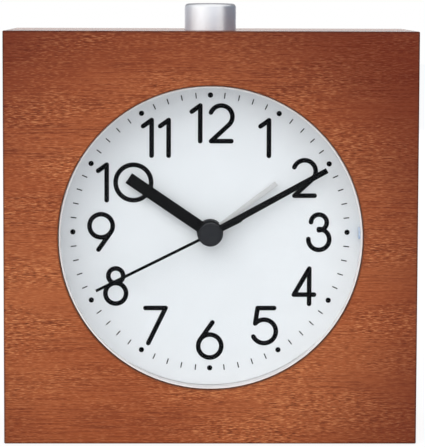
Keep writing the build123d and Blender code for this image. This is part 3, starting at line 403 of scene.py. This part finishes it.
def boardSkin(place, look):
    x, y, z = axes(place)
    run = x + z * look["lean"] + y
    lane = run.maths("FRACT", run * look["lanes"])
    kept = band(evenNoise(place, look["breakSize"], 1.0), *look["break"])
    track = band(abs(lane - 0.5), *look["trackEdge"]) * kept
    weave = evenNoise(place, look["weave"], 1.0)
    return skin(place, {
        "Base Color": blendTone(srgb(*look["tone"]), srgb(*look["track"]), track),
        "Roughness": look["rough"] + swing(weave, look["weaveGloss"]),
        "Normal": bumped(mixed(track, weave, look["weaveShare"]), look["relief"], look["strength"]),
    })


# plain battery jacket: blue-grey with a pale band at one end, bare steel at both ends
cellJacket = {
    "tone": (62, 84, 112), "bandTone": (196, 200, 206), "bareTone": (186, 188, 192), "pale": (12.0, 12.15),
    "bare": (23.6, 23.7), "metal": 0.35, "bareMetal": 0.6, "rough": 0.28, "wear": 5.0, "wearGloss": 0.14,
    "relief": 0.02, "strength": 0.3,
}


def jacketSkin(place, look):
    x, _, _ = axes(place)
    wearAndShade = evenNoise(place, look["wear"], 3.0)
    bare = band(abs(x), *look["bare"])
    jacket = blendTone(srgb(*look["tone"]), srgb(*look["bandTone"]), band(x, *look["pale"]))
    return skin(place, {
        "Base Color": blendTone(jacket, srgb(*look["bareTone"]), bare),
        "Metallic": look["metal"] + bare * look["bareMetal"],
        "Roughness": look["rough"] + swing(wearAndShade, look["wearGloss"]),
        "Normal": bumped(wearAndShade, look["relief"], look["strength"]),
    })


# milky resin of the small light
lightResin = {
    "tone": (214, 228, 246), "deep": (176, 200, 232), "haze": 0.8, "hazed": (0.35, 0.65), "rough": 0.16,
    "hazeGloss": 0.1, "coat": 0.6,
}


def resinSkin(place, look):
    haze = evenNoise(place, look["haze"])
    return skin(place, {
        "Base Color": blendTone(srgb(*look["tone"]), srgb(*look["deep"]), band(haze, *look["hazed"])),
        "Roughness": look["rough"] + swing(haze, look["hazeGloss"]), "Coat Weight": look["coat"],
    })


alongX, alongY, alongZ = 0, 1, 2
finishes = {
    "frontWood": makeFinish("frontWood", woodSkin, caseWood, alongX),
    "sideWood": makeFinish("sideWood", woodSkin, caseWood, alongZ),
    "glueBlockWood": makeFinish("glueBlockWood", woodSkin, blockWood, alongY),
    "handLacquer": makeFinish("handLacquer", lacquerSkin, handLacquer),
    "clearLens": makeFinish("clearLens", lensSkin, clearLens),
    "boardLacquer": makeFinish("boardLacquer", boardSkin, boardLacquer),
    "cellJacket": makeFinish("cellJacket", jacketSkin, cellJacket),
    "lightResin": makeFinish("lightResin", resinSkin, lightResin),
}
for name, look in mouldedLooks.items():
    finishes[name] = makeFinish(name, mouldedSkin, look)
for name, look in metalLooks.items():
    finishes[name] = makeFinish(name, metalSkin, look)
print("finishes made,", len(finishes))

# which finish each node of the frame wears
wornBy = {
    "frontWood": ["wood_front", "wood_top", "wood_bottom"],
    "sideWood": ["wood_left", "wood_right"],
    "glueBlockWood": ["corner_blocks"],
    "whitePlastic": ["dial_housing", "dial_carrier"],
    "clearLens": ["lens"],
    "dialPaint": ["dial"],
    "printInk": ["hour_numerals", "minute_track"],
    "coverPlastic": ["back_cover", "battery_door", "switch_body"],
    "knobPlastic": ["time_knob", "alarm_knob", "alarm_slider", "buzzer"],
    "movementPlastic": ["front_plate", "middle_plate", "rear_cover"],
    "wheelPlastic": [
        "alarm_wheel", "hour_wheel", "minute_arbor", "centre_wheel", "second_wheel", "third_wheel",
        "intermediate_wheel", "rotor", "motion_wheel", "time_shaft", "alarm_shaft",
    ],
    "magnetMetal": ["rotor_magnet"],
    "plainSteel": ["stator", "coil_core", "switch_bracket", "positive_contact", "negative_contact"],
    "screwSteel": ["quartz_crystal", "cover_screws", "housing_screws", "movement_screws", "bracket_screws"],
    "bobbinPlastic": ["coil_bobbin"],
    "boardLacquer": ["circuit_board", "snooze_board"],
    "chipResin": ["timing_chip"],
    "lightResin": ["dial_light"],
}
for finishName, wearers in wornBy.items():
    for wearer in wearers:
        for slot in nodes[wearer].material_slots:
            slot.material = finishes[finishName]
print("frame nodes dressed,", sum(len(wearers) for wearers in wornBy.values()))

weldReach = 1e-7
bevelRound = 0.5


# a line of (radius, height) points turned round the local Z axis
def turnProfile(bm, points, steps=96, closed=False):
    line = [bm.verts.new((radius * mm, 0, height * mm)) for radius, height in points]
    pairs = list(zip(line, line[1:])) + ([(line[-1], line[0])] if closed else [])
    edges = [bm.edges.new(pair) for pair in pairs]
    bmesh.ops.spin(
        bm, geom=line + edges, cent=(0, 0, 0), axis=(0, 0, 1), angle=2 * math.pi, steps=steps, use_merge=True
    )
    bmesh.ops.remove_doubles(bm, verts=bm.verts, dist=weldReach)


# points of a profile's rounded edge, from its side to its top
def roundEdge(radius, height, ease, steps):
    turns = [math.pi / 2 * step / steps for step in range(steps + 1)]
    return [(radius - ease * (1 - math.cos(turn)), height - ease * (1 - math.sin(turn))) for turn in turns]


# a flat plate drawn from an outline, with its edges eased
def drawPlate(bm, outline, back, front, ease):
    corners = [bm.verts.new((x * mm, y * mm, back * mm)) for x, y in outline]
    drawn = bmesh.ops.extrude_face_region(bm, geom=[bm.faces.new(corners)])
    lifted = [v for v in drawn["geom"] if isinstance(v, bmesh.types.BMVert)]
    bmesh.ops.translate(bm, vec=(0, 0, (front - back) * mm), verts=lifted)
    edges = list({edge for v in corners + lifted for edge in v.link_edges})
    bmesh.ops.bevel(
        bm, geom=edges, offset=ease * mm, segments=2, profile=bevelRound, affect="EDGES", material=-1
    )


def bladeOutline(start, end, startHalf, endHalf):
    return (start, startHalf), (end, endHalf), (end, -endHalf), (start, -startHalf)


# a place on the dial: X along a hand, Z to the front
def dialFrame(clockwise, depth):
    turn = math.radians(clockwise)
    along = Vector((math.sin(turn), 0, math.cos(turn)))
    out = Vector((0, -1, 0))
    turned = Matrix((along, out.cross(along), out)).transposed().to_4x4()
    return Matrix.Translation((0, (frontFace + depth) * mm, axisHeight * mm)) @ turned


def addPiece(name, bm, place, finish, body, stands, sharp=35):
    bmesh.ops.transform(bm, matrix=place, verts=bm.verts)
    bmesh.ops.recalc_face_normals(bm, faces=bm.faces)
    mesh = bpy.data.meshes.new(name)
    bm.to_mesh(mesh)
    bm.free()
    mesh.shade_smooth()
    mesh.set_sharp_from_angle(angle=math.radians(sharp))
    mesh.materials.append(finishes[finish])
    piece = bpy.data.objects.new(name, mesh)
    scene.collection.objects.link(piece)
    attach(piece, body)
    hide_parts(*stands)
    return piece


# hands: blades with eased edges on round hubs, front counted back from the wooden front
handThickness = 0.4
handEase = 0.07
hands = {
    "alarmHand": {
        "body": "alarm_hand", "clockwise": 53.0, "front": 13.7, "hub": 3.0, "bore": 1.86, "from": 1.9,
        "to": 20.5, "hubHalf": 0.6, "tipHalf": 0.6, "finish": "greyLacquer", "slot": "hand_grey",
    },
    "hourHand": {
        "body": "hour_hand", "clockwise": 304.2, "front": 12.5, "hub": 3.2, "bore": 1.26, "from": 1.5,
        "to": 24.3, "hubHalf": 1.45, "tipHalf": 1.45, "finish": "handLacquer", "slot": "hand_black",
    },
    "minuteHand": {
        "body": "minute_hand", "clockwise": 61.3, "front": 11.2, "hub": 2.6, "bore": 0.66, "from": 0.9,
        "to": 32.7, "hubHalf": 0.84, "tipHalf": 0.675, "finish": "handLacquer", "slot": "hand_black",
    },
}
for name, hand in hands.items():
    bm = bmesh.new()
    outline = bladeOutline(hand["from"], hand["to"], hand["hubHalf"], hand["tipHalf"])
    drawPlate(bm, outline, -handThickness, 0, handEase)
    hub, bore = hand["hub"], hand["bore"]
    turnProfile(bm, (
        (bore, -handThickness), (hub, -handThickness), (hub, -handEase), (hub - handEase, 0), (bore, 0),
    ), closed=True)
    addPiece(
        name, bm, dialFrame(hand["clockwise"], hand["front"]), hand["finish"], hand["body"], [hand["body"]],
    )

# second hand: a thin blade and a broader tail under a round cap
secondHand = {"clockwise": 243.5, "front": 10.0, "blade": 31.4, "width": 0.7, "tail": 8.5, "tailWidth": 1.25}
handCap = {"radius": 2.85, "height": 1.6, "round": 0.5, "steps": 6, "ease": 0.1}
bm = bmesh.new()
half, tailHalf = secondHand["width"] / 2, secondHand["tailWidth"] / 2
drawPlate(bm, bladeOutline(0, secondHand["blade"], half, half), -handThickness, 0, handEase)
drawPlate(bm, bladeOutline(-secondHand["tail"], 0, tailHalf, tailHalf), -handThickness, 0, handEase)
rim, top, ease = handCap["radius"], handCap["height"], handCap["ease"]
turnProfile(bm, [
    (0, -handThickness), (rim - ease, -handThickness), (rim, -handThickness + ease),
    *roundEdge(rim, top, handCap["round"], handCap["steps"]), (0, top),
])
addPiece(
    "secondHand", bm, dialFrame(secondHand["clockwise"], secondHand["front"]), "handLacquer", "second_hand",
    ["second_hand"],
)
print("hands made")

# satin silver button, turned, with a crowned top
button = {
    "radius": 6.4, "flange": 7.6, "bottom": 91.0, "flangeTop": 92.6, "flangeEase": 0.2, "top": 106.6,
    "round": 1.0, "roundSteps": 8, "crown": 0.12, "steps": 128, "sharp": 25,
}
bm = bmesh.new()
side, flange, bottom = button["radius"], button["flange"], button["bottom"]
halfway = 0.5  # of the radius, where the crown has sunk by a quarter
turnProfile(bm, [
    (0, bottom), (flange - button["flangeEase"], bottom), (flange, bottom + button["flangeEase"]),
    (flange, button["flangeTop"]), (side, button["flangeTop"]),
    *roundEdge(side, button["top"] - button["crown"], button["round"], button["roundSteps"]),
    (side * halfway, button["top"] - button["crown"] * halfway ** 2), (0, button["top"]),
], steps=button["steps"])
addPiece(
    "silverButton", bm, Matrix.Identity(4), "turnedSilver", "snooze_button", ["snooze_button"],
    sharp=button["sharp"],
)

# rubber dome under the button, which flattens when it is pressed; it is built here at rest only
# its walls are points of a radius and a height over the foot
dome = {
    "base": 3.6, "top": 2.4, "wall": 0.7, "foot": 86.6, "height": 4.4, "ease": 0.2, "squashed": 0.545,
    "outside": ((3.5, 0.9), (3.1, 2.0), (2.55, 3.6)), "inside": ((2.75, 1.0), (2.3, 2.2)), "ceiling": 1.8,
}
bm = bmesh.new()
foot, crest = dome["foot"], dome["foot"] + dome["height"]
footInside, ceiling = (dome["base"] - dome["wall"], foot), crest - dome["wall"]
turnProfile(bm, (
    footInside, (dome["base"], foot), *((radius, foot + height) for radius, height in dome["outside"]),
    (dome["top"], crest - dome["ease"]), (dome["top"] - dome["ease"], crest), (0, crest),
))
turnProfile(bm, (
    footInside, *((radius, foot + height) for radius, height in dome["inside"]), (dome["ceiling"], ceiling),
    (0, ceiling),
))
domePiece = addPiece(
    "rubberDome", bm, Matrix.Identity(4), "domeRubber", "case", ["button_dome"]
)
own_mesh(domePiece)
print("button and dome made")

# motor coil: turns of wire drawn one after another along the bobbin
coil = {"turns": 46, "corner": 0.35, "cornerSteps": 3, "valley": 0.94, "sharp": 80}
low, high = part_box("coil_winding")
middle, size = (low + high) / 2, high - low
bm = bmesh.new()
sides = ((-0.5, -0.5), (0.5, -0.5), (0.5, 0.5), (-0.5, 0.5))
ring = [bm.verts.new((low.x, middle.y + size.y * u, middle.z + size.z * v)) for u, v in sides]
bm.faces.new(ring)
bmesh.ops.bevel(
    bm, geom=ring, offset=coil["corner"] * mm, segments=coil["cornerSteps"], profile=bevelRound,
    affect="VERTICES", material=-1,
)
loop = list(bm.edges)
step = size.x / (2 * coil["turns"])
for turn in range(2 * coil["turns"]):
    drawn = bmesh.ops.extrude_edge_only(bm, edges=loop)["geom"]
    moved = [v for v in drawn if isinstance(v, bmesh.types.BMVert)]
    loop = [e for e in drawn if isinstance(e, bmesh.types.BMEdge)]
    bmesh.ops.translate(bm, vec=(step, 0, 0), verts=moved)
    swell = coil["valley"] if turn % 2 == 0 else 1 / coil["valley"]
    bmesh.ops.scale(bm, vec=(1, swell, swell), space=Matrix.Translation(-middle), verts=moved)
bmesh.ops.contextual_create(bm, geom=loop)
addPiece(
    "coilTurns", bm, Matrix.Identity(4), "copperWire", "case", ["coil_winding"],
    sharp=coil["sharp"],
)

# battery cell: crimped can with a dished base, a seal and a nub, lying along X
batteryCell = {
    "radius": 7.1, "dish": 4.9, "dishRim": 5.2, "dishDepth": 0.25, "lip": 0.35, "crimp": (0.1, 0.12),
    "seal": 1.1, "sealSlope": 0.2, "sealDepth": 0.3, "nub": 2.6, "nubFoot": 0.5, "nubLength": 1.0,
    "nubEase": 0.25,
}
low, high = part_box("battery")
middle, length = (low + high) / 2, (high.x - low.x) / mm
radius, body = batteryCell["radius"], length - batteryCell["nubLength"]
lip, (crimpIn, crimpUp) = batteryCell["lip"], batteryCell["crimp"]
sealed, sealFloor = radius - batteryCell["seal"], body - batteryCell["sealDepth"]
nub, nubEase, dishDepth = batteryCell["nub"], batteryCell["nubEase"], batteryCell["dishDepth"]
bm = bmesh.new()
turnProfile(bm, (
    (0, dishDepth), (batteryCell["dish"], dishDepth), (batteryCell["dishRim"], 0),
    (radius - lip, 0), (radius - crimpIn, crimpUp), (radius, lip),
    (radius, body - lip), (radius - crimpIn, body - crimpUp), (radius - lip, body),
    (sealed, body), (sealed - batteryCell["sealSlope"], sealFloor), (nub + batteryCell["nubFoot"], sealFloor),
    (nub, body), (nub, length - nubEase), (nub - nubEase, length), (0, length),
))
lying = Matrix.Translation((low.x, middle.y, middle.z)) @ Matrix.Rotation(math.pi / 2, 4, "Y")
addPiece("batteryCell", bm, lying, "cellJacket", "case", ["battery"])
print("coil and battery made")


# white studio, in metres: camera, gloss and clear rays see white, the floor keeps the shadow
studio = {
    "floorHalf": 3.0, "floorDrop": 0.0002, "floorGlow": 0.86, "floorTone": (0.2, 0.2, 0.2, 1.0),
    "floorBounce": (0.8, 0.8, 0.8, 1.0), "skyTone": (0.86, 0.93, 1.0, 1.0), "sky": 0.57,
}


def seenWhite(start):
    path = start.node("ShaderNodeLightPath", out="Is Camera Ray")
    seen = path + path.also("Is Glossy Ray")
    return path.maths("ADD", seen, path.also("Is Transmission Ray"), clamp=True)


def stagePiece(name, bm, finish):
    mesh = bpy.data.meshes.new(name)
    bm.to_mesh(mesh)
    bm.free()
    mesh.materials.append(finish)
    piece = bpy.data.objects.new(name, mesh)
    scene.collection.objects.link(piece)
    return piece


def studioFloor():
    finish = bpy.data.materials.new("paleFloor")
    start = startTree(finish)
    glow = start.node("ShaderNodeEmission", None, {"Color": white, "Strength": studio["floorGlow"]})
    shade = start.node("ShaderNodeBsdfDiffuse", None, {"Color": studio["floorTone"]})
    bright = start.node("ShaderNodeAddShader", None, {0: glow, 1: shade})
    bounce = start.node("ShaderNodeBsdfDiffuse", None, {"Color": studio["floorBounce"]})
    endTree(start.node("ShaderNodeMixShader", None, {0: seenWhite(start), 1: bounce, 2: bright}))
    bm = bmesh.new()
    bmesh.ops.create_grid(bm, x_segments=1, y_segments=1, size=studio["floorHalf"])
    bmesh.ops.translate(bm, vec=(0, 0, -studio["floorDrop"]), verts=bm.verts)
    stagePiece("studioFloor", bm, finish)


def studioSky():
    world = bpy.data.worlds.new("studioSky")
    scene.world = world
    start = startTree(world)
    seen = start.node("ShaderNodeBackground", None, {"Color": white, "Strength": 1.0})
    light = start.node("ShaderNodeBackground", None, {"Color": studio["skyTone"], "Strength": studio["sky"]})
    surface = start.node("ShaderNodeMixShader", None, {0: seenWhite(start), 1: light, 2: seen})
    endTree(surface, "ShaderNodeOutputWorld")


# soft lamps, and cards that only gloss mirrors
lamps = {
    "keyLamp": {"place": (-0.31, -0.86, 0.58), "size": 1.05, "watts": 6.25, "tone": (1.0, 0.985, 0.955)},
    "fillLamp": {"place": (0.15, -1.05, 0.24), "size": 1.0, "watts": 3.0, "tone": (1.0, 0.995, 0.985)},
    "backLamp": {"place": (0.4, 0.95, 0.5), "size": 1.0, "watts": 4.0, "tone": (1.0, 0.99, 0.98)},
}
aim = Vector((0, 0, axisHeight * mm))
for name, lamp in lamps.items():
    data = bpy.data.lights.new(name, "AREA")
    data.shape = "SQUARE"
    data.size = lamp["size"]
    data.energy = lamp["watts"]
    data.color = lamp["tone"]
    holder = bpy.data.objects.new(name, data)
    holder.location = lamp["place"]
    holder.rotation_euler = (aim - holder.location).to_track_quat("-Z", "Y").to_euler()
    holder.visible_glossy = False
    scene.collection.objects.link(holder)

cards = {
    "rightCard": {"place": (0.32, 0.21, 0.1), "size": (0.8, 0.5), "turn": 0, "tone": (124, 131, 142)},
    "leftCard": {"place": (-0.34, 0.32, 0.1), "size": (0.6, 0.5), "turn": 0, "tone": (188, 191, 198)},
    "frontCard": {"place": (0.2, -0.75, 0.2), "size": (0.55, 0.6), "turn": 75, "tone": (232, 235, 241)},
    "topCard": {"place": (0.0, 0.45, 0.62), "size": (1.2, 0.9), "turn": 90, "tone": (140, 140, 143)},
    "keyCard": {
        "place": (-0.55, -0.5, 0.25), "size": (0.55, 0.6), "turn": -42, "tone": (255, 255, 255), "glow": 1.25,
    },
}
for name, card in cards.items():
    finish = bpy.data.materials.new(name)
    glow = {"Color": srgb(*card["tone"]), "Strength": card.get("glow", 1.0)}
    endTree(startTree(finish).node("ShaderNodeEmission", None, glow))
    width, height = card["size"]
    bm = bmesh.new()
    bmesh.ops.create_grid(bm, x_segments=1, y_segments=1, size=0.5)
    bmesh.ops.scale(bm, vec=(height, width, 1), verts=bm.verts)
    bmesh.ops.rotate(bm, matrix=Matrix.Rotation(math.pi / 2, 3, "Y"), verts=bm.verts)
    bmesh.ops.rotate(bm, matrix=Matrix.Rotation(-math.radians(card["turn"]), 3, "Z"), verts=bm.verts)
    bmesh.ops.translate(bm, vec=card["place"], verts=bm.verts)
    flag = stagePiece(name, bm, finish)
    flag.visible_camera = False
    flag.visible_diffuse = False
    flag.visible_transmission = False
    flag.visible_shadow = False
studioFloor()
studioSky()

# camera: a little above the clock and to its left, long lens
shot = {
    "place": (-0.0072, -0.5695, 0.109), "yaw": 0.791, "pitch": 4.7, "roll": 0.17, "lens": 183.8,
    "sensor": 36.0, "shiftY": -0.0951, "near": 0.01, "far": 20.0,
}
cameraData = bpy.data.cameras.new("clockCamera")
cameraData.lens = shot["lens"]
cameraData.sensor_width = shot["sensor"]
cameraData.shift_y = shot["shiftY"]
cameraData.clip_start = shot["near"]
cameraData.clip_end = shot["far"]
camera = bpy.data.objects.new("clockCamera", cameraData)
yaw = Matrix.Rotation(math.radians(-shot["yaw"]), 4, "Z")
pitch = Matrix.Rotation(math.radians(90 - shot["pitch"]), 4, "X")
roll = Matrix.Rotation(math.radians(shot["roll"]), 4, "Z")
camera.matrix_world = Matrix.Translation(shot["place"]) @ yaw @ pitch @ roll
scene.collection.objects.link(camera)
scene.camera = camera
scene.view_settings.view_transform = "Standard"
print("studio and camera set")
